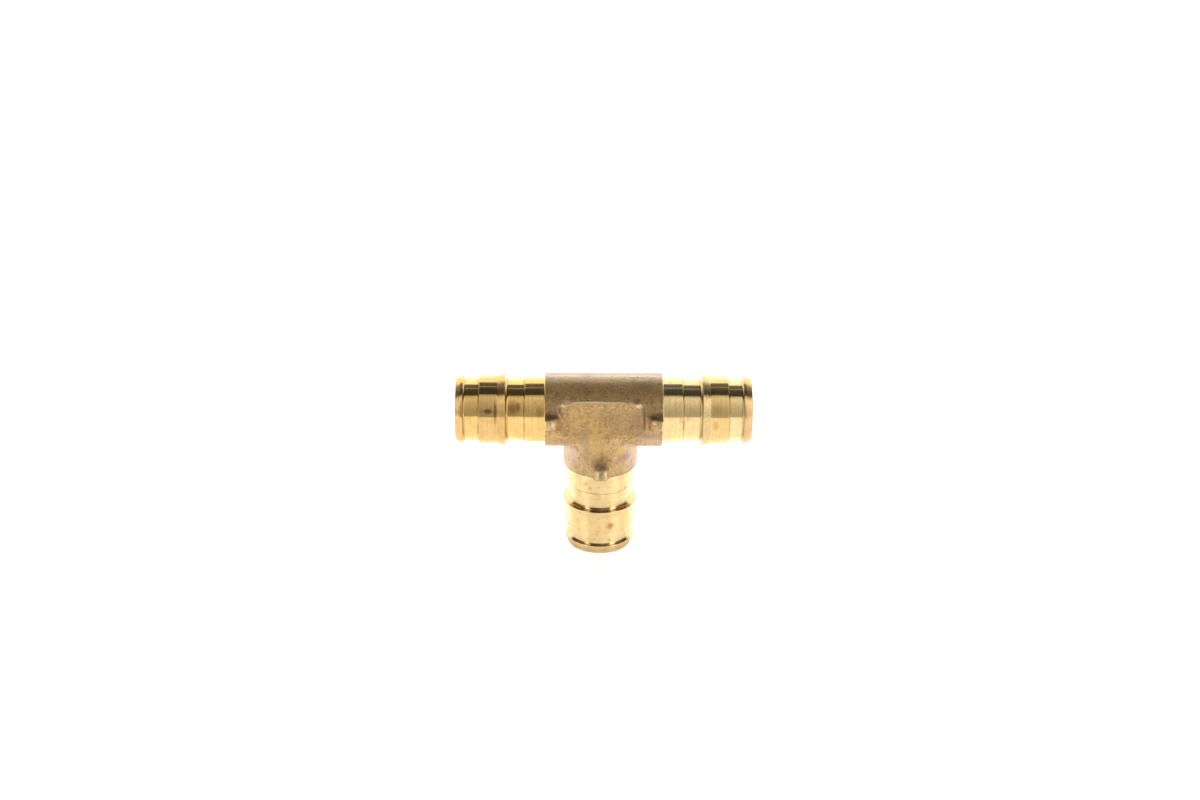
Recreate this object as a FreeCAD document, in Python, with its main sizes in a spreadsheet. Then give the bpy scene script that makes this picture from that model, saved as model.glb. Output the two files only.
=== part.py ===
import FreeCAD, Part
import math
import os

import Sketcher

# Half-inch equal tee for cold-expansion plastic pipe, forged in one piece of brass and
# turned at its three arms. Millimetres. The origin is where the bore axes cross, the run
# lies along X, the branch points down along -Z, and the lettering panel faces -Y.

SIZES = {
    # Forged body, as it leaves the dies
    "run_body_diameter": 16.05,
    "branch_body_diameter": 15.9,
    "run_shoulder_distance": 12.8,
    "branch_shoulder_distance": 12.8,
    "junction_radius": 1.4,
    "turning_offset": 0.5,
    # Witness of the trimmed flash, along the plane where the two dies met
    "flash_width": 0.9,
    "flash_height": 0.12,
    # Flat panel on the front and the back of the body
    "panel_width": 18.7,
    "panel_top": 5.6,
    "panel_top_setback": 1.57,
    "panel_bottom": 3.9,
    "panel_bottom_setback": 0.41,
    # Ring stops, two on each arm
    "stop_crest_width": 2.4,
    "stop_root_width": 4.9,
    "stop_root_setback": 0.45,
    "stop_flare_radius": 3.0,
    "stop_sink": 2.1,
    "stop_height": 2.0,
    "stop_knee_height": 1.35,
    "stop_knee_distance": 2.3,
    "stop_length": 4.3,
    "stop_start_depth": 1.25,
    "stop_chamfer": 0.4,
    "run_stop_lean": 4.4,
    # Barb, from its root inside the body to the open end
    "barb_root": 1.0,
    "collar_width": 4.4,
    "collar_diameter": 14.6,
    "lock_groove_width": 4.25,
    "lock_groove_diameter": 13.95,
    "ridge_width": 1.75,
    "ridge_diameter": 16.35,
    "ridge_fillet": 0.7,
    "land_width": 3.95,
    "land_diameter": 15.2,
    "end_groove_width": 3.15,
    "end_groove_diameter": 13.95,
    "flange_width": 2.0,
    "flange_diameter": 15.1,
    "flange_fillet": 0.5,
    "flange_nose_radius": 1.4,
    # Waterway; the branch is drilled a little narrower, so that the two bores cross cleanly
    "run_bore_diameter": 11.0,
    "branch_bore_diameter": 10.5,
    "mouth_chamfer": 0.3,
}

BARB_WIDTHS = (
    "collar_width",
    "lock_groove_width",
    "ridge_width",
    "land_width",
    "end_groove_width",
    "flange_width",
)

doc = FreeCAD.newDocument("expansion_tee")
sheet = doc.addObject("Spreadsheet::Sheet", "Sizes")
for row, (alias, number) in enumerate(SIZES.items(), start=1):
    sheet.set("A%d" % row, str(number))
    sheet.setAlias("A%d" % row, alias)
doc.recompute()

body = doc.addObject("PartDesign::Body", "Tee")
body.Label = "tee_fitting"


# Lengths are sums of sheet values: a list of (factor, alias) pairs


def number(terms):
    """The length in millimetres that the terms add up to."""
    return sum(factor * SIZES[alias] for factor, alias in terms)


def formula(terms):
    """The same sum as an expression on the sheet."""
    return " + ".join("(%g) * Sizes.%s" % (factor, alias) for factor, alias in terms)


def half(alias):
    return [(0.5, alias)]


def full(alias):
    return [(1, alias)]


def minus(terms):
    return [(-factor, alias) for factor, alias in terms]


# Sketches: closed outlines whose corners are tied to the sheet


def origin_plane(role):
    return next(item for item in body.Origin.OriginFeatures if item.Role == role)


def new_sketch(name, role, turn=None, shift=None, angle=None):
    """A sketch on an origin plane, turned in or out of it and shifted along its normal."""
    sketch = body.newObject("Sketcher::SketchObject", name)
    sketch.AttachmentSupport = [(origin_plane(role), "")]
    sketch.MapMode = "FlatFace"
    sketch.AttachmentOffset = FreeCAD.Placement(FreeCAD.Vector(), turn or FreeCAD.Rotation())
    if shift:
        sketch.setExpression("AttachmentOffset.Base.z", formula(shift))
    if angle:
        sketch.setExpression("AttachmentOffset.Rotation.Angle", angle)
    return sketch


def place(sketch, geometry, vertex, corner):
    """Ties one end of a piece of outline to its two sums; an empty sum is zero."""
    for terms, kind, axis in ((corner[0], "DistanceX", -2), (corner[1], "DistanceY", -1)):
        if not terms:
            sketch.addConstraint(Sketcher.Constraint("PointOnObject", geometry, vertex, axis))
            continue
        tie = Sketcher.Constraint(kind, -1, 1, geometry, vertex, number(terms))
        index = sketch.addConstraint(tie)
        sketch.setExpression("Constraints[%d]" % index, formula(terms))


def arc_between(start, end, radius, left):
    """An arc from start to end with its centre on the left or right of the way there."""
    chord = end - start
    across = FreeCAD.Vector(-chord.y, chord.x, 0).normalize()
    reach = math.sqrt(max(radius ** 2 - (chord.Length / 2) ** 2, 0))
    centre = (start + end) / 2 + across * (reach if left else -reach)
    first, last = (start, end) if left else (end, start)
    angles = [math.atan2(point.y - centre.y, point.x - centre.x) for point in (first, last)]
    circle = Part.Circle(centre, FreeCAD.Vector(0, 0, 1), radius)
    return Part.ArcOfCircle(circle, angles[0], angles[1])


def outline(sketch, corners, arcs=None):
    """A closed outline; arcs gives radius and side for the piece that starts at a corner."""
    arcs = arcs or {}
    points = [FreeCAD.Vector(number(across), number(up), 0) for across, up in corners]
    ends = []
    for index, start in enumerate(points):
        end = points[(index + 1) % len(points)]
        if index in arcs:
            radius, left = arcs[index]
            piece = sketch.addGeometry(arc_between(start, end, number(radius), left), False)
            ends.append((piece, 1, 2) if left else (piece, 2, 1))
            tie = sketch.addConstraint(Sketcher.Constraint("Radius", piece, number(radius)))
            sketch.setExpression("Constraints[%d]" % tie, formula(radius))
        else:
            piece = sketch.addGeometry(Part.LineSegment(start, end), False)
            ends.append((piece, 1, 2))
    for index, (piece, first, last) in enumerate(ends):
        following, following_first, _ = ends[(index + 1) % len(ends)]
        join = Sketcher.Constraint("Coincident", piece, last, following, following_first)
        sketch.addConstraint(join)
        place(sketch, piece, first, corners[index])


def revolve(kind, name, sketch):
    """A full turn of a sketch about its own horizontal axis."""
    feature = body.newObject(kind, name)
    feature.Profile = sketch
    feature.ReferenceAxis = (sketch, ["H_Axis"])
    feature.Angle = 360
    finish(feature)
    return feature


def finish(feature):
    """Recomputes and makes the feature the body's last one."""
    body.Tip = feature
    doc.recompute()
    if not feature.isValid():
        raise RuntimeError("%s did not build" % feature.Name)


def extrude(kind, name, sketch, width):
    """Pads or pockets a sketch by a width, half to each side of it."""
    feature = body.newObject(kind, name)
    feature.Profile = sketch
    feature.Midplane = True
    feature.setExpression("Length", formula(width))
    finish(feature)
    return feature


# The three arms share one outline. Each has its own turn out of the XZ plane, so that the
# sketch's horizontal axis runs out along the arm, and its own shoulder. The run was turned
# a little off the middle of the forging, so its two shoulders are not equally far out

OFFSET = full("turning_offset")
RUN_SHOULDER = full("run_shoulder_distance")
BRANCH_SHOULDER = full("branch_shoulder_distance")
ARMS = {
    "Right": (FreeCAD.Rotation(), RUN_SHOULDER + OFFSET),
    "Left": (FreeCAD.Rotation(FreeCAD.Vector(0, 1, 0), 180), RUN_SHOULDER + minus(OFFSET)),
    "Branch": (FreeCAD.Rotation(FreeCAD.Vector(0, 0, 1), -90), BRANCH_SHOULDER),
}
RIGHT_END = ARMS["Right"][1]
LEFT_END = minus(ARMS["Left"][1])


def forged_body():
    """Two crossing round bars with a rolled junction."""
    run = new_sketch("RunBodyProfile", "XZ_Plane")
    radius = half("run_body_diameter")
    outline(run, [(LEFT_END, []), (RIGHT_END, []), (RIGHT_END, radius), (LEFT_END, radius)])
    revolve("PartDesign::Revolution", "RunBody", run)

    turn, shoulder = ARMS["Branch"]
    branch = new_sketch("BranchBodyProfile", "XZ_Plane", turn)
    radius = half("branch_body_diameter")
    outline(branch, [([], []), (shoulder, []), (shoulder, radius), ([], radius)])
    joined = revolve("PartDesign::Revolution", "BranchBody", branch)

    crossing = [
        "Edge%d" % index
        for index, edge in enumerate(joined.Shape.Edges, start=1)
        if not isinstance(edge.Curve, (Part.Line, Part.Circle))
    ]
    junction = body.newObject("PartDesign::Fillet", "Junction")
    junction.Base = (joined, crossing)
    junction.setExpression("Radius", "Sizes.junction_radius")
    finish(junction)


def flash_witness():
    """The thin band that trimming leaves all round the body's outline."""
    proud = full("flash_height")
    top = half("run_body_diameter") + proud
    side = half("branch_body_diameter") + proud
    foot = minus(BRANCH_SHOULDER)
    bend = full("junction_radius") + minus(proud)
    outer = side + bend
    corner = minus(top) + minus(bend)
    sketch = new_sketch("FlashOutline", "XZ_Plane")
    outline(
        sketch,
        [
            (LEFT_END, top),
            (LEFT_END, minus(top)),
            (minus(outer), minus(top)),
            (minus(side), corner),
            (minus(side), foot),
            (side, foot),
            (side, corner),
            (outer, minus(top)),
            (RIGHT_END, minus(top)),
            (RIGHT_END, top),
        ],
        {2: (bend, False), 6: (bend, False)},
    )
    extrude("PartDesign::Pad", "Flash", sketch, full("flash_width"))


def mirror_to_back(name, originals):
    """Repeats features of the front die on the back."""
    mirror = body.newObject("PartDesign::Mirrored", name)
    mirror.Originals = originals
    mirror.MirrorPlane = (origin_plane("XZ_Plane"), [""])
    finish(mirror)


def panels():
    """The flat where the dies carry their marks, leaning back a little towards the top."""
    face = half("run_body_diameter")
    outside = full("run_body_diameter")
    high = full("panel_top")
    low = minus(full("panel_bottom"))
    sketch = new_sketch("PanelProfile", "YZ_Plane")
    outline(
        sketch,
        [
            (minus(face) + full("panel_top_setback"), high),
            (minus(face) + full("panel_bottom_setback"), low),
            (minus(outside), low),
            (minus(outside), high),
        ],
    )
    front = extrude("PartDesign::Pocket", "FrontPanel", sketch, full("panel_width"))
    mirror_to_back("BackPanel", [front])


# Outline planes for the stops: the origin plane across the arm, the turn in it that points
# the sketch's vertical axis out at the crest, and which way along its normal the arm runs.
# The run's stops sit a little above its middle

STOP_PLANES = {
    "Right": ("YZ_Plane", "90 - Sizes.run_stop_lean", 1),
    "Left": ("YZ_Plane", "90 - Sizes.run_stop_lean", -1),
    "Branch": ("XY_Plane", "180", -1),
}


def stop_section(name, arm, distance, crest, flank):
    """Cross-section of a ring stop; crest and flank are heights above the arm's surface."""
    plane, angle, way = STOP_PLANES[arm]
    upright = FreeCAD.Rotation(FreeCAD.Vector(0, 0, 1), 90)
    shift = distance if way > 0 else minus(distance)
    sketch = new_sketch(name, plane, upright, shift, angle)
    radius = half("branch_body_diameter" if arm == "Branch" else "run_body_diameter")
    inside = radius + minus(full("stop_sink"))
    foot = radius + flank
    top = radius + crest
    root = half("stop_root_width")
    tip = half("stop_crest_width")
    outline(
        sketch,
        [
            (minus(root), inside),
            (minus(root), foot),
            (minus(tip), top),
            (tip, top),
            (root, foot),
            (root, inside),
        ],
        {1: (full("stop_flare_radius"), True), 3: (full("stop_flare_radius"), True)},
    )
    return sketch


def ring_stops():
    """A wedge on the front and back of each arm that the sleeve comes up against."""
    lofts = []
    for arm, (_, shoulder) in ARMS.items():
        knee = shoulder + minus(full("stop_knee_distance"))
        start = shoulder + minus(full("stop_length"))
        flank = minus(full("stop_root_setback"))
        buried = minus(full("stop_start_depth"))
        sections = [
            stop_section(arm + "StopTip", arm, shoulder, full("stop_height"), flank),
            stop_section(arm + "StopKnee", arm, knee, full("stop_knee_height"), flank),
            stop_section(arm + "StopStart", arm, start, buried, buried + flank),
        ]
        loft = body.newObject("PartDesign::AdditiveLoft", arm + "Stop")
        loft.Profile = sections[0]
        loft.Sections = sections[1:]
        loft.Ruled = True
        finish(loft)
        lofts.append(loft)
    mirror_to_back("BackStops", lofts)


def turned_stop_tips():
    """The bevel that turning leaves on the outer corner of each stop."""
    bevel = full("stop_chamfer")
    for arm, (turn, shoulder) in ARMS.items():
        radius = half("branch_body_diameter" if arm == "Branch" else "run_body_diameter")
        crest = radius + full("stop_height")
        clear = crest + bevel
        sketch = new_sketch(arm + "StopBevelProfile", "XZ_Plane", turn)
        outline(
            sketch,
            [
                (shoulder + minus(bevel), crest),
                (shoulder, crest + minus(bevel)),
                (shoulder + bevel, crest + minus(bevel)),
                (shoulder + bevel, clear),
                (shoulder + minus(bevel), clear),
            ],
        )
        revolve("PartDesign::Groove", arm + "StopBevel", sketch)


# The barb's roundings are turned as short straight tapers. Each list holds the degrees at
# which one taper meets the next, from the rounding's start to its end

NOSE_DEGREES = (0, 22.5, 45, 67.5, 90)
FILLET_DEGREES = (0, 45, 90)


def scaled(factor, terms):
    return [(factor * share, alias) for share, alias in terms]


def nose(end, outside, radius):
    """Corners of the rounded nose of the flange, from the open end to its outside."""
    corners = []
    for degrees in NOSE_DEGREES:
        inward = math.cos(math.radians(degrees)) - 1
        outward = math.sin(math.radians(degrees)) - 1
        corners.append((end + scaled(inward, radius), outside + scaled(outward, radius)))
    return corners


def inner_fillet(face, root, radius):
    """Corners of the fillet that leads from the face at the end of a groove to its floor."""
    corners = []
    for degrees in FILLET_DEGREES:
        inward = math.cos(math.radians(degrees)) - 1
        outward = 1 - math.sin(math.radians(degrees))
        corners.append((face + scaled(inward, radius), root + scaled(outward, radius)))
    return corners


def barbs():
    """The turned barb of each arm: collar, groove, ridge, land, groove and end flange."""
    collar = half("collar_diameter")
    lock = half("lock_groove_diameter")
    ridge = half("ridge_diameter")
    land = half("land_diameter")
    groove = half("end_groove_diameter")
    flange = half("flange_diameter")
    for arm, (turn, shoulder) in ARMS.items():
        root = shoulder + minus(full("barb_root"))
        steps = [
            shoulder + [(1, width) for width in BARB_WIDTHS[:count]]
            for count in range(len(BARB_WIDTHS) + 1)
        ]
        end = steps[6]
        sketch = new_sketch(arm + "BarbProfile", "XZ_Plane", turn)
        outline(
            sketch,
            [(root, []), (end, [])]
            + nose(end, flange, full("flange_nose_radius"))
            + [(steps[5], flange)]
            + inner_fillet(steps[5], groove, full("flange_fillet"))
            + [
                (steps[4], groove),
                (steps[4], land),
                (steps[3], land),
                (steps[2], ridge),
            ]
            + inner_fillet(steps[2], lock, full("ridge_fillet"))
            + [(steps[1], lock), (steps[1], collar), (root, collar)],
        )
        revolve("PartDesign::Revolution", arm + "Barb", sketch)


def waterway():
    """One bore down each arm, meeting at the centre, with a chamfered mouth."""
    chamfer = full("mouth_chamfer")
    for arm, (turn, shoulder) in ARMS.items():
        bore = half("branch_bore_diameter" if arm == "Branch" else "run_bore_diameter")
        end = shoulder + [(1, width) for width in BARB_WIDTHS]
        sketch = new_sketch(arm + "BoreProfile", "XZ_Plane", turn)
        outline(
            sketch,
            [([], []), (end, []), (end, bore + chamfer), (end + minus(chamfer), bore), ([], bore)],
        )
        revolve("PartDesign::Groove", arm + "Bore", sketch)


STEPS = (
    (forged_body, 1),
    (flash_witness, 1),
    (panels, -1),
    (ring_stops, 1),
    (turned_stop_tips, -1),
    (barbs, 1),
    (waterway, -1),
)


def check_part():
    """Stops the build if any object or the finished solid is broken."""
    for item in doc.Objects:
        if "Invalid" in item.State or "Error" in item.State:
            raise RuntimeError("%s: %s" % (item.Name, item.State))
    solid = body.Shape
    if solid.isNull() or not solid.isValid() or len(solid.Solids) != 1:
        raise RuntimeError("the tee is not one valid solid")


volume = 0
for step, gain in STEPS:
    step()
    if (body.Shape.Volume - volume) * gain <= 0:
        raise RuntimeError("%s changed the volume the wrong way" % step.__name__)
    volume = body.Shape.Volume

doc.recompute()
check_part()
os.makedirs("parts", exist_ok=True)
body.Shape.exportStep("parts/%s.step" % body.Label)
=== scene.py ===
import math

import bmesh
import bpy
import numpy as np
from mathutils import Matrix, Vector, noise


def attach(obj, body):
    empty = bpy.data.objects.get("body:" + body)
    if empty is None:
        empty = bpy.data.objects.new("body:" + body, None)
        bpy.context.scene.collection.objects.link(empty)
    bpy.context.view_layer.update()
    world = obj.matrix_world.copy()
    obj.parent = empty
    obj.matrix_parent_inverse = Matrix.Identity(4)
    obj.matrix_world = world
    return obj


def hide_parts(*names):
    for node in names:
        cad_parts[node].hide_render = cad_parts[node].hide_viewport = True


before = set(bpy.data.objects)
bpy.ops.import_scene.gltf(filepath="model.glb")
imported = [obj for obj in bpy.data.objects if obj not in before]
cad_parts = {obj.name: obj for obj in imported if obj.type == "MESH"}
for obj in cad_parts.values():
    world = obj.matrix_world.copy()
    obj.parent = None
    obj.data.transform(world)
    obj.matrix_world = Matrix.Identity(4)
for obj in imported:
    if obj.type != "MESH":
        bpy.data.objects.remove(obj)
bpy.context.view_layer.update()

MM = 0.001

# Sizes of the fitting in millimetres, in the CAD model's frame

OUTWARD = {"left": Vector((-1, 0, 0)), "right": Vector((1, 0, 0)), "branch": Vector((0, 0, -1))}
SHOULDERS = {"left": 12.3, "right": 13.3, "branch": 12.8}
BORES = {"left": 5.5, "right": 5.5, "branch": 5.25}

# A barb's steps, by how far they lie past the shoulder, and its radii. The nose starts at so much
# past the flange's start.

SEAT_RADIUS = 7.56
COLLAR_END, COLLAR_RADIUS = 4.4, 7.3
RIDGE_START, RIDGE_RADIUS = 8.65, 8.175
LAND_START, LAND_END, LAND_RADIUS = 10.4, 14.35, 7.6
GROOVE_RADIUS = 6.975
FLANGE_STARTS = {"left": 17.85, "right": 17.65, "branch": 17.5}
FLANGE_RADIUS = 7.55
NOSE_START, NOSE_START_RADIUS = 0.55, 7.49
NOSE_END_RADIUS = 7.02
BARB_END = 19.5
MOUTH_CHAMFER = 0.3

FLOOR_Z = -SHOULDERS["branch"] - BARB_END

# A distance that nothing on the fitting reaches, for ranges with no limit on one side

ANY = 99.0


# Node trees


class Nodes:
    """Short calls for building a node tree."""

    def __init__(self, tree):
        self.tree = tree

    def add(self, kind, **settings):
        node = self.tree.nodes.new(kind)
        for name, value in settings.items():
            setattr(node, name, value)
        return node

    def link(self, value, socket):
        """Joins a socket to another, or gives it a value."""
        if isinstance(value, bpy.types.NodeSocket):
            self.tree.links.new(value, socket)
        else:
            socket.default_value = value

    def math(self, operation, a, b=0.0):
        node = self.add("ShaderNodeMath", operation=operation)
        self.link(a, node.inputs[0])
        self.link(b, node.inputs[1])
        return node.outputs[0]

    def times(self, product, *others):
        for other in others:
            product = self.math("MULTIPLY", product, other)
        return product

    def plus(self, total, *others):
        for other in others:
            total = self.math("ADD", total, other)
        return total

    def absolute(self, value):
        return self.math("ABSOLUTE", value)

    def centred(self, value, strength):
        """A noise that runs from nought to one, moved to run about nought."""
        return self.times(self.math("SUBTRACT", value, 0.5), strength)

    def step(self, value, low, high, start=0.0, end=1.0):
        """Smooth step of a value from low to high."""
        node = self.add("ShaderNodeMapRange", interpolation_type="SMOOTHSTEP")
        for name, given in (
            ("Value", value),
            ("From Min", low),
            ("From Max", high),
            ("To Min", start),
            ("To Max", end),
        ):
            self.link(given, node.inputs[name])
        return node.outputs[0]

    def band(self, value, low, high, soft):
        """One between low and high, with soft edges."""
        rise = self.step(value, low - soft, low + soft)
        fall = self.step(value, high - soft, high + soft, 1.0, 0.0)
        return self.times(rise, fall)

    def blend(self, factor, a, b):
        """A number between two others."""
        node = self.add("ShaderNodeMix", data_type="FLOAT")
        self.link(factor, node.inputs["Factor"])
        self.link(a, node.inputs[2])
        self.link(b, node.inputs[3])
        return node.outputs[0]

    def mix(self, factor, a, b):
        """A colour between two others."""
        node = self.add("ShaderNodeMix", data_type="RGBA")
        self.link(factor, node.inputs["Factor"])
        self.link(opaque(a), node.inputs[6])
        self.link(opaque(b), node.inputs[7])
        return node.outputs[2]

    def tint(self, colour, by):
        """A colour multiplied by another."""
        return self.vector("MULTIPLY", colour, by)

    def noise(self, place, scale, detail=3.0, roughness=0.5, dimensions="3D"):
        node = self.add("ShaderNodeTexNoise", noise_dimensions=dimensions)
        self.link(place, node.inputs["W" if dimensions == "1D" else "Vector"])
        self.link(scale, node.inputs["Scale"])
        self.link(detail, node.inputs["Detail"])
        self.link(roughness, node.inputs["Roughness"])
        return node.outputs["Fac"]

    def vector(self, operation, a, b=(0, 0, 0), scale=1.0):
        node = self.add("ShaderNodeVectorMath", operation=operation)
        self.link(a, node.inputs[0])
        if operation == "SCALE":
            self.link(scale, node.inputs["Scale"])
        elif operation != "LENGTH":
            self.link(b, node.inputs[1])
        return node.outputs["Value" if operation in ("LENGTH", "DOT_PRODUCT") else 0]

    def parts(self, vector):
        """A vector's X, Y and Z."""
        node = self.add("ShaderNodeSeparateXYZ")
        self.link(vector, node.inputs[0])
        return node.outputs

    def object_place(self):
        """The point on the surface in millimetres, in the CAD model's frame."""
        coordinates = self.add("ShaderNodeTexCoord")
        return self.vector("SCALE", coordinates.outputs["Object"], scale=1 / MM)

    def bump(self, height, distance, strength=1.0, normal=None):
        node = self.add("ShaderNodeBump")
        self.link(height, node.inputs["Height"])
        self.link(distance * MM, node.inputs["Distance"])
        self.link(strength, node.inputs["Strength"])
        if normal is not None:
            self.link(normal, node.inputs["Normal"])
        return node.outputs[0]


def opaque(colour):
    """A written colour with its alpha; a socket stays as it is."""
    return (*colour, 1) if isinstance(colour, tuple) else colour


def new_material(name):
    material = bpy.data.materials.new(name)
    material.use_nodes = True
    material.node_tree.nodes.clear()
    nodes = Nodes(material.node_tree)
    shader = nodes.add("ShaderNodeBsdfPrincipled")
    output = nodes.add("ShaderNodeOutputMaterial")
    nodes.link(shader.outputs[0], output.inputs["Surface"])
    return material, nodes, shader


# Colours

WHITE = (1.0, 1.0, 1.0)
PURPLE = (0.40, 0.27, 0.225)
PALE = (0.95, 0.78, 0.62)
CREAM = (0.93, 0.74, 0.46)
DUSTY = (0.76, 0.57, 0.42)
GOLDEN = (0.78, 0.52, 0.17)
RUSSET = (0.36, 0.225, 0.14)
UMBER = (0.20, 0.13, 0.07)
GREEN = (0.15, 0.135, 0.085)
PINK = (0.76, 0.55, 0.42)
ORANGE = (0.72, 0.36, 0.10)
BROWN = (0.33, 0.16, 0.05)
RUST = (0.50, 0.25, 0.07)
TARNISH = (0.50, 0.30, 0.11)
STEP_SHADE_BROWN = (0.42, 0.22, 0.08)
PAINTED_CORNER_SHADE = (0.19, 0.10, 0.042)
TAN_TINT = (0.74, 0.56, 0.38)

SKIN = (0.70, 0.455, 0.18)
SKIN_DARK = (0.59, 0.385, 0.18)
SKIN_CLOUD = (0.47, 0.30, 0.15)
SPECK_TINT = (0.54, 0.45, 0.36)
PALE_GRIT = (0.92, 0.71, 0.44)
PALE_GRAIN = (0.92, 0.71, 0.45)
PALE_SAND = (0.90, 0.69, 0.43)
PALE_TOP_SHEEN = (0.90, 0.69, 0.48)
PANEL_TINT = (0.84, 0.80, 0.77)
UPPER_SHADE_TINT = (0.66, 0.64, 0.62)
PAINTED_HOLLOW_SHADE = (0.30, 0.19, 0.10)
EDGE_WEAR_AND_HIGHLIGHT = (0.94, 0.75, 0.50)
SHOULDER_SHADOW_GREY = (0.30, 0.22, 0.16)

# Stains, painted shade, painted sheen and painted highlights: centre and radii in millimetres, colour,
# strength

FORGED_SPOTS = [
    ((-6.6, -4.4, -8.6), (2.6, 3.4, 4.0), DUSTY, 0.6),
    ((6.6, -4.4, -8.2), (2.4, 3.4, 3.6), DUSTY, 0.6),
    ((10.6, -6.8, -4.2), (3.0, 2.4, 1.6), DUSTY, 0.5),
    ((-1.6, -7.6, -4.6), (3.0, 2.4, 4.6), GOLDEN, 0.55),
    ((-5.5, -7.6, 0.8), (3.4, 1.6, 2.6), GOLDEN, 0.4),
    ((4.4, -7.6, -6.6), (2.0, 2.0, 2.4), GOLDEN, 0.4),
    ((8.6, -7.6, 1.2), (2.6, 1.6, 3.4), RUSSET, 0.5),
    ((-9.6, -7.6, 2.4), (1.5, 1.6, 1.8), RUSSET, 0.4),
    ((-3.0, -7.6, -7.4), (0.7, 1.4, 2.4), PURPLE, 0.5),
    ((-5.9, -5.6, -10.6), (0.9, 1.6, 1.2), PURPLE, 0.4),
    ((3.4, -7.4, -9.4), (0.7, 1.2, 0.7), RUSSET, 0.5),
    # The next one is painted sheen: a pale stripe along the top
    ((0.5, -0.3, 8.1), (60.0, 0.75, 0.6), PALE, 0.7),
    ((5.2, -6.0, -8.7), (1.9, 2.2, 1.1), PURPLE, 0.75),
    ((-3.4, -7.4, -4.2), (0.9, 1.5, 3.4), PURPLE, 0.6),
    ((10.8, -7.4, -2.8), (2.4, 1.8, 1.1), PURPLE, 0.65),
    ((-2.9, 1.2, 7.9), (2.8, 1.6, 1.2), PURPLE, 0.5),
    ((-11.4, -1.9, 7.8), (1.0, 1.2, 1.2), PURPLE, 0.6),
    # The next one is painted shadow, beside the painted highlight at the panel's right top corner
    ((7.6, -6.4, 4.9), (0.9, 1.0, 0.7), GREEN, 0.8),
    ((8.3, -3.0, 7.4), (2.5, 1.5, 1.5), GREEN, 0.35),
    # The rest are painted shade: above the run's stops, and above and on the branch's stop
    ((-11.2, -8.2, 1.9), (2.5, 1.8, 1.4), UMBER, 0.6),
    ((11.6, -8.2, 1.9), (2.5, 1.8, 1.3), UMBER, 0.55),
    ((0.0, -8.4, -9.3), (2.3, 1.7, 1.7), UMBER, 0.5),
    ((0.0, -8.4, -8.8), (3.2, 1.7, 2.6), UMBER, 0.35),
    ((0.0, -9.2, -11.6), (0.45, 0.7, 1.6), UMBER, 0.7),
    ((0.1, -8.0, -7.6), (0.35, 0.6, 1.6), UMBER, 0.6),
]
FORGED_PAINTED_GLINTS = [
    # Painted highlights: on the stops, at the panel's top corners, along its top edge and down its sides
    ((-10.55, -9.5, 0.9), (0.45, 0.6, 0.8), CREAM, 0.7),
    ((11.15, -9.35, 1.2), (0.55, 0.6, 0.4), CREAM, 0.7),
    ((-0.75, -9.5, -11.2), (0.35, 0.6, 1.3), CREAM, 0.8),
    ((0.95, -9.5, -11.2), (0.35, 0.6, 1.3), CREAM, 0.8),
    ((8.0, -6.7, 4.1), (0.9, 0.7, 0.45), CREAM, 0.95),
    ((-8.5, -6.7, 4.1), (0.7, 0.7, 0.35), CREAM, 0.7),
    ((-1.0, -6.6, 4.9), (6.0, 0.7, 0.22), CREAM, 0.7),
    ((-9.0, -7.6, 2.4), (0.35, 0.7, 1.1), CREAM, 0.6),
    ((-8.4, -7.6, 1.3), (0.35, 0.7, 0.9), CREAM, 0.5),
    ((8.6, -7.6, 1.6), (0.25, 0.8, 1.2), CREAM, 0.6),
]
LEFT_SPOTS = [
    ((-24.6, -7.0, 2.9), (0.9, 1.2, 0.7), UMBER, 0.85),
    ((-24.9, -7.0, 2.9), (2.2, 1.2, 0.35), UMBER, 0.5),
    ((-19.4, -6.1, 3.3), (1.5, 1.5, 1.9), BROWN, 0.75),
    ((-18.1, -6.1, 3.4), (0.6, 1.0, 1.2), BROWN, 0.75),
    ((-23.05, -7.0, 2.6), (0.35, 1.8, 3.4), BROWN, 0.85),
    ((-14.4, -6.4, 4.4), (0.45, 0.8, 0.4), UMBER, 0.6),
    ((-13.6, -6.6, 2.4), (0.9, 1.2, 1.6), BROWN, 0.35),
]
RIGHT_SPOTS = [
    ((24.8, -7.6, -0.2), (0.8, 1.0, 1.3), ORANGE, 0.75),
    ((17.3, -7.2, 0.9), (0.6, 1.0, 1.0), ORANGE, 0.55),
    ((18.7, -7.0, 1.1), (0.5, 0.8, 0.7), ORANGE, 0.5),
    ((25.2, -7.0, 3.4), (1.6, 1.2, 1.4), BROWN, 0.22),
    ((26.1, -0.2, 7.6), (1.4, 1.2, 0.8), PINK, 0.5),
]
BRANCH_SPOTS = [
    ((2.3, -7.2, -25.2), (0.75, 0.9, 0.8), RUST, 0.85),
    ((2.3, -7.2, -25.2), (1.5, 1.2, 1.3), RUST, 0.35),
    ((-3.2, -6.5, -15.0), (0.6, 0.8, 0.5), ORANGE, 0.8),
    ((-2.3, -6.9, -15.9), (0.4, 0.6, 0.35), ORANGE, 0.8),
    ((5.4, -4.9, -16.9), (0.35, 0.5, 0.35), BROWN, 0.6),
    ((-1.1, -6.9, -28.8), (0.4, 0.6, 0.3), ORANGE, 0.6),
    ((2.15, -6.6, -29.1), (0.35, 0.5, 0.4), ORANGE, 0.7),
]

# A spot, whether a stain or painted light or shade, is whole within the first share of its radii and gone
# past the second

SPOT_EDGE = (0.2, 1.3)


def lay_spots(nodes, place, warp, colour, spots):
    """Lays soft-edged spots over a colour, both stains and painted light and shade; the warp makes their
    edges uneven.
    """
    for centre, radii, tint, strength in spots:
        offset = nodes.vector("DIVIDE", nodes.vector("SUBTRACT", place, centre), radii)
        reach = nodes.plus(nodes.vector("LENGTH", offset), warp)
        mask = nodes.step(reach, *SPOT_EDGE, strength, 0.0)
        colour = nodes.mix(mask, colour, tint)
    return colour


# Turned brass

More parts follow.
